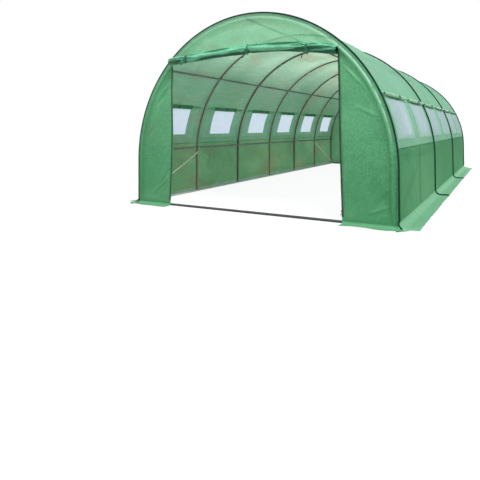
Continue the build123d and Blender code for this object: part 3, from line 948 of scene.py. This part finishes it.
class Amount:
    """A number that changes over a surface. Sums on it add Math nodes to its finish."""

    def __init__(self, finish, socket):
        self.finish = finish
        self.socket = socket

    def math(self, operation, *others):
        values = dict(enumerate((self, *others)))
        return Amount(self.finish, self.finish.node("Math", {"operation": operation}, values).outputs[0])

    def __add__(self, other):
        return self.math("ADD", other)

    def __sub__(self, other):
        return self.math("SUBTRACT", other)

    def __rsub__(self, other):
        return (self * -1) + other

    def __mul__(self, other):
        return self.math("MULTIPLY", other)

    def __truediv__(self, other):
        return self.math("DIVIDE", other)

    __radd__ = __add__
    __rmul__ = __mul__

    def clamped(self):
        return self.math("MAXIMUM", 0.0).math("MINIMUM", 1.0)

    def ribs(self, pitch):
        """Waves from -1 to 1, a pitch apart."""
        return (self * (CYCLE / pitch)).math("SINE")

    def grid(self, pitch):
        """1 along lines a pitch apart."""
        return ((self / pitch).math("FRACT") - 0.5).math("ABSOLUTE").stepped(0.47, 0.5)

    def stepped(self, start, end):
        """Soft step from 0 at start to 1 at end."""
        values = {"Value": self, "From Min": start, "From Max": end}
        node = self.finish.node("MapRange", {"interpolation_type": "SMOOTHSTEP"}, values)
        return Amount(self.finish, node.outputs["Result"])


class Finish:
    """One material. node() adds any node; the other methods name the ones that finishes share."""

    def __init__(self, name, tree=None):
        if tree is None:
            self.material = bpy.data.materials.new(name)
            self.material.use_nodes = True
            tree = self.material.node_tree
        self.tree = tree
        self.tree.nodes.clear()

    def node(self, kind, settings=None, values=None):
        node = self.tree.nodes.new("ShaderNode" + kind)
        for key, value in (settings or {}).items():
            setattr(node, key, value)
        for key, value in (values or {}).items():
            if isinstance(value, Amount):
                value = value.socket
            if isinstance(value, bpy.types.NodeSocket):
                self.tree.links.new(value, node.inputs[key])
            else:
                node.inputs[key].default_value = value
        return node

    def place(self):
        return self.node("TexCoord").outputs["Object"]

    def parts(self, vector):
        split = self.node("SeparateXYZ", None, {0: vector})
        return [Amount(self, socket) for socket in split.outputs]

    def cut(self):
        """Place on the flat cut: along and across, in metres."""
        return self.parts(self.node("UVMap", {"uv_map": "cut"}).outputs[0])[:2]

    def noise(self, place, scale, detail=2.0, rough=0.5):
        values = {"Vector": place, "Scale": scale, "Detail": detail, "Roughness": rough}
        return Amount(self, self.node("TexNoise", None, values).outputs[0])

    def drawn_out(self, place, stretch):
        """The place with its axes scaled, for streaks."""
        return self.node("VectorMath", {"operation": "MULTIPLY"}, {0: place, 1: stretch}).outputs[0]

    def mixed(self, share, first, second):
        values = {0: share, 6: first, 7: second}
        return self.node("Mix", {"data_type": "RGBA"}, values).outputs[2]

    def blended(self, share, first, second):
        return self.node("MixShader", None, {0: share, 1: first, 2: second}).outputs[0]

    def light_through(self, glow):
        return self.node("BsdfTranslucent", None, {"Color": glow}).outputs[0]

    def bump(self, height):
        """Normal from a height in metres."""
        return self.node("Bump", None, {"Height": height, "Distance": 1.0, "Strength": 1.0}).outputs[0]

    def done(self, **values):
        """The finish's own shader, from values named as its sockets, with _ for a space."""
        values = {key.replace("_", " "): value for key, value in values.items()}
        return self.node("BsdfPrincipled", None, values).outputs[0]

    def shown(self, shader):
        self.node("OutputMaterial", None, {"Surface": shader})
        return self.material


def colour(red, green, blue):
    return (red, green, blue, 1.0)


THREAD = 0.0045
RIB = 0.060
TAPE_RIB = 0.0022
TAPE_STITCH = 0.006
MESH_THREAD = 0.003
CRINKLE_HEIGHT = 0.0042
THREAD_HEIGHT = 0.00012
RIPSTOP_HEIGHT = 0.00025
GRAIN_HEIGHT = 0.0004
STREAK_DEPTH = 0.012
CREASE_INSET = 0.030
SHADE_TOP = 1.5
RIPSTOP = colour(0.55, 0.74, 0.62)
# Brown of dust at the foot, and of painted brownish light on the left side.
DUST_AND_LIGHT_BROWN = colour(0.40, 0.42, 0.28)
# Pale colour of painted highlights on creases and wisps.
PAINTED_HIGHLIGHT = colour(0.68, 1.0, 0.84)
# Painted shade of the hollow inside a roll.
CORE_SHADE = colour(0.003, 0.030, 0.013)
# Light through the sheet along the painted wisps: a painted highlight.
PALE_GLOW = colour(0.84, 1.0, 0.88)


def arch_crease_highlight(x, height):
    """1 where the cloth of an end wall comes round its hoop: a painted highlight on the crease, strongest
    over the right shoulder.
    """
    above = (height - LEG).math("MAXIMUM", 0.0)
    inside = ARCH - (x * x + above * above).math("SQRT")
    line = (inside - CREASE_INSET).math("ABSOLUTE").stepped(0.010, 0.003)
    return line * x.stepped(-0.5, 0.6) * height.stepped(0.55, 1.15)


def over_hoops(y, half):
    """1 along the line of each hoop under the cover, half wide either way: where the hoops' light and shade
    are painted.
    """
    share = ((y - HOOP_YS[0]) / BAY + 0.5).math("FRACT") - 0.5
    return (share * BAY).math("ABSOLUTE").stepped(half, 0.15 * half)


def woven_sheet(
    name,
    tint,
    deep,
    glow,
    glow_share,
    gloss=0.46,
    shine=0.35,
    speckle=0.44,
    dusty=0.10,
    solid=1.0,
    painted_low_shade=0.0,
    painted_low_glow=1.0,
    crinkle=1.0,
    fold_shade=0.0,
    crease=0.0,
    painted_wisps=0.0,
    core=0.0,
    painted_hoop_line=None,
):
    """Coated woven sheet: threads, a coarser ripstop grid, clouds, crinkles, and light through it."""
    finish = Finish(name)
    place = finish.place()
    x, y, height = finish.parts(place)
    along, across = finish.cut()
    clouds = finish.noise(place, 1.5, 3.0)
    blotches = finish.noise(place, 7.0, 4.0, 0.6)
    grain = finish.noise(place, 52.0, 3.0, 0.65)
    crinkles = finish.noise(finish.drawn_out(place, (1.0, 0.8, 0.6)), 15.0, 4.0, 0.6)
    wrinkles = finish.noise(finish.drawn_out(place, (1.0, 0.55, 0.9)), 9.0, 3.0, 0.5)
    lines = (wrinkles - 0.5).math("ABSOLUTE").stepped(0.018, 0.0)
    threads = along.ribs(THREAD) * across.ribs(THREAD)
    grid = along.grid(RIB).math("MAXIMUM", across.grid(RIB))
    left_side = x.stepped(1.2, -0.6)

    shade = clouds.stepped(0.34, 0.66) * 0.34 + blotches.stepped(0.32, 0.70) * 0.22
    shade = shade + grain.stepped(0.34, 0.66) * speckle
    # Darker towards the bottom: painted shade, for less light low down.
    shade = (1 - painted_low_shade / 2) * shade + threads * 0.04 + painted_low_shade * height.stepped(SHADE_TOP, 0.0)
    relief = CRINKLE_HEIGHT * crinkle * crinkles + THREAD_HEIGHT * threads
    relief = relief + RIPSTOP_HEIGHT * grid + GRAIN_HEIGHT * grain
    # Painted shade along the folds of the roll, which are also pressed in.
    if fold_shade:
        folds = finish.noise(finish.drawn_out(place, (2.0, 24.0, 24.0)), 1.0, 2.0)
        shade = shade + fold_shade * folds.stepped(0.40, 0.62)
        relief = relief - STREAK_DEPTH * fold_shade * folds

    cloth = finish.mixed(shade.clamped(), tint, deep)
    cloth = finish.mixed(grid * 0.08, cloth, RIPSTOP)
    earth = height.stepped(0.16, 0.0) * blotches.stepped(0.42, 0.75) * dusty
    # Brownish patches towards the left side: painted light from outside coming through the sheet.
    brown_light_patches = clouds.stepped(0.50, 0.72) * blotches.stepped(0.40, 0.65) * left_side * 0.18
    cloth = finish.mixed((earth + brown_light_patches).clamped(), cloth, DUST_AND_LIGHT_BROWN)
    # Painted light along each hoop: a pale painted highlight where the roof cloth rides over it, a dark
    # painted shadow where a hoop shows through the wall.
    if painted_hoop_line:
        hoop_line_colour, hoop_line_share, hoop_line_half = painted_hoop_line
        cloth = finish.mixed(over_hoops(y, hoop_line_half) * (hoop_line_share * (0.5 + blotches)), cloth, hoop_line_colour)
    # Pale streaks in the colour: painted highlights of wispy wrinkles.
    if painted_wisps:
        drawn = finish.noise(finish.drawn_out(place, (24.0, 3.2, 24.0)), 1.0, 3.0, 0.55)
        wisp_highlight = drawn.stepped(0.44, 0.80) * painted_wisps
        cloth = finish.mixed(0.3 * wisp_highlight, cloth, PAINTED_HIGHLIGHT)
    # Inner windings dark: painted shade in the hollow at the roll's ends.
    if core:
        cloth = finish.mixed(across.stepped(core, 0.85 * core), cloth, CORE_SHADE)
    rough = gloss + 0.24 * (blotches - 0.5) + 0.10 * (grain - 0.5)
    # Painted highlight along the crease where an end wall's cloth turns round its hoop, a little glossier
    # there.
    if crease:
        crease_highlight = arch_crease_highlight(x, height) * crinkles.stepped(0.32, 0.56) * crease
        cloth = finish.mixed(crease_highlight, cloth, PAINTED_HIGHLIGHT)
        rough = rough - 0.15 * crease_highlight
    coat = finish.done(
        Base_Color=cloth,
        Roughness=rough.clamped(),
        Normal=finish.bump(relief),
        Specular_IOR_Level=shine,
        Alpha=solid,
    )

    # Browner light through in patches towards the left side: painted light.
    patches = finish.noise(finish.drawn_out(place, (1.0, 0.8, 1.6)), 1.7, 4.0, 0.55)
    faded = colour(glow[0] * 1.12, glow[1] * 0.80, glow[2] * 0.80)
    patchy = patches.stepped(0.48, 0.64) * left_side
    through = finish.blended(patchy, finish.light_through(glow), finish.light_through(faded))
    # The same streaks let pale light through: painted highlights seen from inside.
    if painted_wisps:
        through = finish.blended(wisp_highlight, through, finish.light_through(PALE_GLOW))
    # Light through varies with clouds and blotches, and rises along crinkles and wrinkle lines: painted
    # highlights on the wrinkles.
    uneven = 0.60 + 0.34 * clouds.stepped(0.36, 0.64) + 0.22 * blotches
    uneven = uneven + 0.34 * crinkles + 0.36 * lines - 0.07
    # Less light through low down and towards the left: painted shade.
    uneven = uneven * (painted_low_glow + (1 - painted_low_glow) * (height + 0.25 * x).stepped(1.15, 1.92))
    return finish.shown(finish.blended(glow_share * uneven, coat, through))


def galvanised(name, tint, deep, metal=0.55, gloss=0.30):
    """Galvanised tube: faint spangle, drawn streaks and dull patches."""
    finish = Finish(name)
    place = finish.place()
    cells = finish.node("TexVoronoi", None, {"Vector": place, "Scale": 110.0})
    spangle = Amount(finish, cells.outputs["Distance"])
    streaks = finish.noise(finish.drawn_out(place, (60.0, 3.0, 8.0)), 1.0, 3.0)
    dull = finish.noise(place, 9.0, 4.0, 0.6)
    shade = (spangle * 0.5 + streaks * 0.5 + dull.stepped(0.35, 0.7) * 0.5 - 0.25).clamped()
    steel = finish.mixed(shade, tint, deep)
    rough = (gloss + 0.25 * dull + 0.12 * spangle).clamped()
    relief = finish.bump(0.00025 * streaks + 0.0001 * spangle)
    return finish.shown(finish.done(Base_Color=steel, Roughness=rough, Metallic=metal, Normal=relief))


def woven_tape(name, tint, deep, rough=0.62):
    """Narrow woven tape with a row of stitches near each edge."""
    finish = Finish(name)
    place = finish.place()
    along, across = finish.cut()
    ribs = along.ribs(TAPE_RIB)
    fuzz = finish.noise(place, 260.0, 3.0)
    faded = finish.noise(place, 14.0, 3.0)
    stitch_row = (across.math("ABSOLUTE") - 0.0045).math("ABSOLUTE").stepped(0.0009, 0.0004)
    stitches = stitch_row * (along / TAPE_STITCH).math("FRACT").stepped(0.35, 0.45)
    shade = (fuzz * 0.5 + faded.stepped(0.35, 0.7) * 0.6 + ribs * 0.06).clamped()
    tape = finish.mixed(shade, tint, deep)
    tape = finish.mixed(stitches * 0.5, tape, colour(0.12, 0.22, 0.16))
    relief = finish.bump(0.00018 * ribs + 0.0003 * fuzz + 0.0004 * stitches)
    rough = (rough + 0.25 * (fuzz - 0.5)).clamped()
    coat = finish.done(Base_Color=tape, Roughness=rough, Normal=relief, Specular_IOR_Level=0.15)
    return finish.shown(coat)


def fine_mesh(name, tint, deep, glow, glow_share):
    """Fine window mesh: a grid of threads, a little cloudy, with light coming through."""
    finish = Finish(name)
    place = finish.place()
    along, across = finish.cut()
    net = along.ribs(MESH_THREAD).math("MAXIMUM", across.ribs(MESH_THREAD))
    clouds = finish.noise(place, 6.0, 3.0)
    creases = finish.noise(place, 34.0, 3.0)
    shade = (clouds.stepped(0.32, 0.7) * 0.6 + (1 - net) * 0.12 + creases * 0.15).clamped()
    mesh = finish.mixed(shade, tint, deep)
    relief = finish.bump(0.0024 * creases + 0.0001 * net)
    rough = (0.24 + 0.25 * clouds).clamped()
    coat = finish.done(Base_Color=mesh, Roughness=rough, Normal=relief)
    return finish.shown(finish.blended(glow_share, coat, finish.light_through(glow)))


def zinc(name):
    """Bright zinc plating, a little yellowed."""
    finish = Finish(name)
    dull = finish.noise(finish.place(), 180.0, 3.0)
    plate = finish.mixed(dull.stepped(0.3, 0.7), colour(0.62, 0.62, 0.58), colour(0.34, 0.33, 0.29))
    return finish.shown(finish.done(Base_Color=plate, Metallic=0.8, Roughness=0.28 + 0.2 * dull))


GLOW = colour(0.50, 0.84, 0.62)
ROOF_TINT = colour(0.175, 0.58, 0.355)
ROOF_DEEP = colour(0.085, 0.37, 0.200)
ROOF_SHEET = woven_sheet(
    "roof_sheet",
    ROOF_TINT,
    ROOF_DEEP,
    colour(0.54, 0.80, 0.60),
    0.44,
    shine=0.28,
    painted_low_shade=0.9,
    painted_low_glow=0.36,
    # Painted wispy highlights on the roof.
    painted_wisps=0.34,
    # Pale painted highlight along the hoops.
    painted_hoop_line=(colour(0.62, 0.90, 0.76), 0.8, 0.014),
)
# The roof cloth behind the screens, letting more light through: painted light making up for the screen over
# it.
BEHIND_SHEET = woven_sheet(
    "behind_sheet",
    ROOF_TINT,
    ROOF_DEEP,
    colour(0.58, 0.82, 0.60),
    0.56,
    painted_low_shade=0.9,
    painted_low_glow=0.70,
)
WALL_SHEET = woven_sheet(
    "wall_sheet",
    colour(0.058, 0.335, 0.138),
    colour(0.030, 0.235, 0.083),
    colour(0.31, 0.59, 0.33),
    0.30,
    gloss=0.6,
    shine=0.10,
    # Dark painted shadow of the hoops showing through the wall.
    painted_hoop_line=(colour(0.030, 0.15, 0.065), 0.75, 0.022),
)
SKIRT_SHEET = woven_sheet(
    "skirt_sheet",
    colour(0.20, 0.54, 0.31),
    colour(0.14, 0.43, 0.23),
    GLOW,
    0.16,
    gloss=0.5,
    shine=0.2,
    dusty=0.25,
)
END_SKIRT_SHEET = woven_sheet(
    "end_skirt_sheet",
    colour(0.125, 0.43, 0.215),
    colour(0.075, 0.31, 0.14),
    GLOW,
    0.14,
    gloss=0.5,
    shine=0.2,
    dusty=0.2,
)
# Lighter than the front panels: painted light for the glow through the gable from the lit roof behind it.
GABLE_SHEET = woven_sheet(
    "gable_sheet",
    colour(0.31, 0.76, 0.47),
    colour(0.165, 0.57, 0.31),
    colour(0.56, 0.95, 0.70),
    0.42,
    gloss=0.40,
    speckle=0.60,
    solid=0.64,
    # Painted highlight round the arch.
    crease=0.6,
)
PANEL_SHEET = woven_sheet(
    "panel_sheet",
    colour(0.190, 0.60, 0.310),
    colour(0.042, 0.25, 0.098),
    colour(0.28, 0.64, 0.36),
    0.32,
    gloss=0.42,
    speckle=0.55,
    painted_low_shade=0.75,
    crinkle=1.5,
    # Painted highlight round the arch.
    crease=0.9,
)
ROLLED_SHEET = woven_sheet(
    "rolled_sheet",
    colour(0.27, 0.85, 0.52),
    colour(0.008, 0.125, 0.048),
    GLOW,
    0.03,
    gloss=0.36,
    shine=0.22,
    speckle=0.10,
    crinkle=0.22,
    fold_shade=0.9,
    # Painted shade of the inner windings.
    core=0.95,
)
# Much paler than the rolled door: painted light that lifts the shaded undersides of the rolls.
FLAP_SHEET = woven_sheet(
    "flap_sheet",
    colour(0.64, 0.90, 0.72),
    colour(0.46, 0.79, 0.56),
    colour(0.70, 0.95, 0.78),
    0.46,
    gloss=0.40,
    speckle=0.2,
    crinkle=0.4,
)
HEADER_SHEET = woven_sheet(
    "header_sheet",
    colour(0.050, 0.32, 0.135),
    colour(0.025, 0.21, 0.080),
    GLOW,
    0.12,
    gloss=0.4,
    speckle=0.2,
)
SEAM_SHEET = woven_sheet(
    "seam_sheet",
    colour(0.035, 0.135, 0.072),
    colour(0.020, 0.085, 0.045),
    GLOW,
    0.60,
    gloss=0.5,
    shine=0.2,
    speckle=0.2,
)
COVER_FINISHES = [ROOF_SHEET, BEHIND_SHEET, WALL_SHEET, SKIRT_SHEET]
PANEL_FINISHES = [PANEL_SHEET, END_SKIRT_SHEET]
PANE_GLOW = colour(0.69, 0.79, 0.93)
HEM_GLOW = colour(0.66, 0.92, 0.76)
SCREEN_FINISHES = [
    fine_mesh("screen_mesh", colour(0.78, 0.97, 0.98), colour(0.58, 0.82, 0.82), PANE_GLOW, 0.74),
    # The lapped mesh is paler than the mesh over the opening: painted light making up for the cover behind
    # it.
    fine_mesh("screen_lap", colour(0.80, 0.99, 0.98), colour(0.62, 0.88, 0.85), PANE_GLOW, 0.56),
    fine_mesh("screen_hem", colour(0.36, 0.64, 0.48), colour(0.24, 0.52, 0.36), HEM_GLOW, 0.58),
]
STRAP_TAPE = woven_tape("strap_tape", colour(0.018, 0.110, 0.058), colour(0.042, 0.210, 0.115))
DARK_TAPE = woven_tape("dark_tape", colour(0.020, 0.036, 0.028), colour(0.050, 0.085, 0.064))
DARK_PIPING = woven_tape("dark_piping", colour(0.005, 0.026, 0.014), colour(0.013, 0.055, 0.032), 0.6)
FLANGE_TAPE = woven_tape("flange_tape", colour(0.05, 0.18, 0.10), colour(0.10, 0.29, 0.17), 0.5)
ZIP_TEETH = woven_tape("zip_teeth", colour(0.012, 0.016, 0.014), colour(0.04, 0.05, 0.045), 0.35)
BOLT_ZINC = zinc("bolt_zinc")
JOINT_STEEL = galvanised("joint_steel", colour(0.42, 0.44, 0.43), colour(0.24, 0.25, 0.24))
TUBE_FINISHES = {
    "hoop": galvanised("hoop_steel", colour(0.27, 0.24, 0.20), colour(0.125, 0.105, 0.086), 0.6, 0.12),
    "rail": galvanised("rail_steel", colour(0.25, 0.28, 0.29), colour(0.125, 0.14, 0.15), 0.5, 0.20),
    "base": galvanised("base_steel", colour(0.68, 0.71, 0.74), colour(0.46, 0.49, 0.52), 0.45, 0.28),
    # Near black: painted shade for the dark underside of the low sill bar.
    "sill": galvanised("sill_steel", colour(0.060, 0.063, 0.066), colour(0.025, 0.027, 0.030), 0.1, 0.45),
    "brace": galvanised("brace_steel", colour(0.86, 0.85, 0.77), colour(0.66, 0.65, 0.57), 0.6, 0.14),
}


def dress_tubes():
    """Finishes for the tubes of the frame, which keep their own shapes."""
    for name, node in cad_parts.items():
        words = name.split("_")
        kind = "base" if words[0] == "base" else next((w for w in words if w in TUBE_FINISHES), None)
        if kind:
            node.data.materials.clear()
            node.data.materials.append(TUBE_FINISHES[kind])


# The object

COVER_NAMES = ["cover_front", "cover_middle", "cover_rear"]
SIDE_PARTS = ("window_band", "side_wall", "side_skirt")
SIDE_NODES = [f"{part}_{side}" for part in SIDE_PARTS for side in SIDES]

dress_tubes()
for number, name in enumerate(COVER_NAMES):
    stands_for = [f"roof_sheet_{number + 1}"] + (SIDE_NODES if number == 0 else [])
    cover_length(name, SEAM_YS[number], SEAM_YS[number + 1], stands_for)
front_panel(-1, ["front_panel_left", "front_skirt_left"])
front_panel(1, ["front_panel_right", "front_skirt_right"])
gable()
rear_wall()
door_roll()
door_ties()
door_zips()
for way in BOTH_WAYS:
    window_ties(way)
    for bay_number, bay_middle in enumerate(BAY_YS, 1):
        window_screen(way, bay_number, bay_middle)
        flap_roll(way, bay_number, bay_middle)
window_headers()
seam_piping()
side_seams()
frame_bolts()
tube_joints()

# Floor, light and camera

FLOOR_SIZE = 60.0


def background_rays(finish):
    """1 for rays that see the background directly or in a shine, 0 for light on the object."""
    path = finish.node("LightPath").outputs
    seen = Amount(finish, path["Is Camera Ray"]) + Amount(finish, path["Is Glossy Ray"])
    return (seen + Amount(finish, path["Is Transmission Ray"])).clamped()


def floor():
    """White floor that keeps a soft shadow."""
    finish = Finish("white_floor")
    lit = finish.node("BsdfDiffuse", None, {"Color": colour(0.36, 0.37, 0.36)}).outputs[0]
    plain = finish.node("Emission", None, {"Color": colour(1, 1, 1), "Strength": 0.91}).outputs[0]
    shadow = finish.node("BsdfDiffuse", None, {"Color": colour(0.12, 0.12, 0.12)}).outputs[0]
    seen = finish.node("AddShader", None, {0: plain, 1: shadow}).outputs[0]
    surface = finish.blended(background_rays(finish), lit, seen)
    mesh = bpy.data.meshes.new("floor")
    half = FLOOR_SIZE / 2
    corners = [(-half, -half, 0), (half, -half, 0), (half, half, 0), (-half, half, 0)]
    mesh.from_pydata(corners, [], [(0, 1, 2, 3)])
    mesh.materials.append(finish.shown(surface))
    ground = bpy.data.objects.new("floor", mesh)
    bpy.context.scene.collection.objects.link(ground)


def sky():
    """Even white light all round, weaker than the white that shows behind."""
    world = bpy.data.worlds.new("studio")
    world.use_nodes = True
    finish = Finish("studio", world.node_tree)
    light = finish.node("Background", None, {"Color": colour(0.97, 0.99, 1.0), "Strength": 0.40}).outputs[0]
    white = finish.node("Background", None, {"Color": colour(1, 1, 1), "Strength": 1.0}).outputs[0]
    surface = finish.blended(background_rays(finish), light, white)
    finish.node("OutputWorld", None, {"Surface": surface})
    bpy.context.scene.world = world


def lamp(name, strength, spread, toward):
    light = bpy.data.lights.new(name, "SUN")
    light.energy = strength
    light.angle = math.radians(spread)
    holder = bpy.data.objects.new(name, light)
    holder.rotation_euler = Vector(toward).to_track_quat("-Z", "Y").to_euler()
    bpy.context.scene.collection.objects.link(holder)


IMAGE_SIDE = 480
CAMERA_AT = Vector((2.3015, -6.4943, 0.8398))
CAMERA_YAW = math.radians(27.6724)
CAMERA_PITCH = math.radians(1.0084)
CAMERA_ROLL = math.radians(-0.4011)
CAMERA_FOCAL = 415.03
CAMERA_CENTRE = (288, 122)


def camera():
    """The photograph's standpoint, off to the right of the doorway and a little below eye height."""
    ahead = Vector(
        (
            -math.sin(CAMERA_YAW) * math.cos(CAMERA_PITCH),
            math.cos(CAMERA_YAW) * math.cos(CAMERA_PITCH),
            math.sin(CAMERA_PITCH),
        )
    )
    level = Vector((math.cos(CAMERA_YAW), math.sin(CAMERA_YAW), 0))
    upright = level.cross(ahead)
    right = math.cos(CAMERA_ROLL) * level + math.sin(CAMERA_ROLL) * upright
    up = -math.sin(CAMERA_ROLL) * level + math.cos(CAMERA_ROLL) * upright
    view = bpy.data.cameras.new("camera")
    view.sensor_width = 36
    view.lens = CAMERA_FOCAL / IMAGE_SIDE * view.sensor_width
    view.shift_x = (IMAGE_SIDE / 2 - CAMERA_CENTRE[0]) / IMAGE_SIDE
    view.shift_y = (CAMERA_CENTRE[1] - IMAGE_SIDE / 2) / IMAGE_SIDE
    holder = bpy.data.objects.new("camera", view)
    holder.matrix_world = Matrix.Translation(CAMERA_AT) @ Matrix((right, up, -ahead)).transposed().to_4x4()
    bpy.context.scene.collection.objects.link(holder)
    bpy.context.scene.camera = holder


floor()
sky()
lamp("key", strength=2.5, spread=16, toward=(-0.52, 0.48, -1.0))
lamp("fill", strength=0.9, spread=12, toward=(0.50, 0.62, -0.42))
camera()
bpy.context.scene.view_settings.view_transform = "Standard"
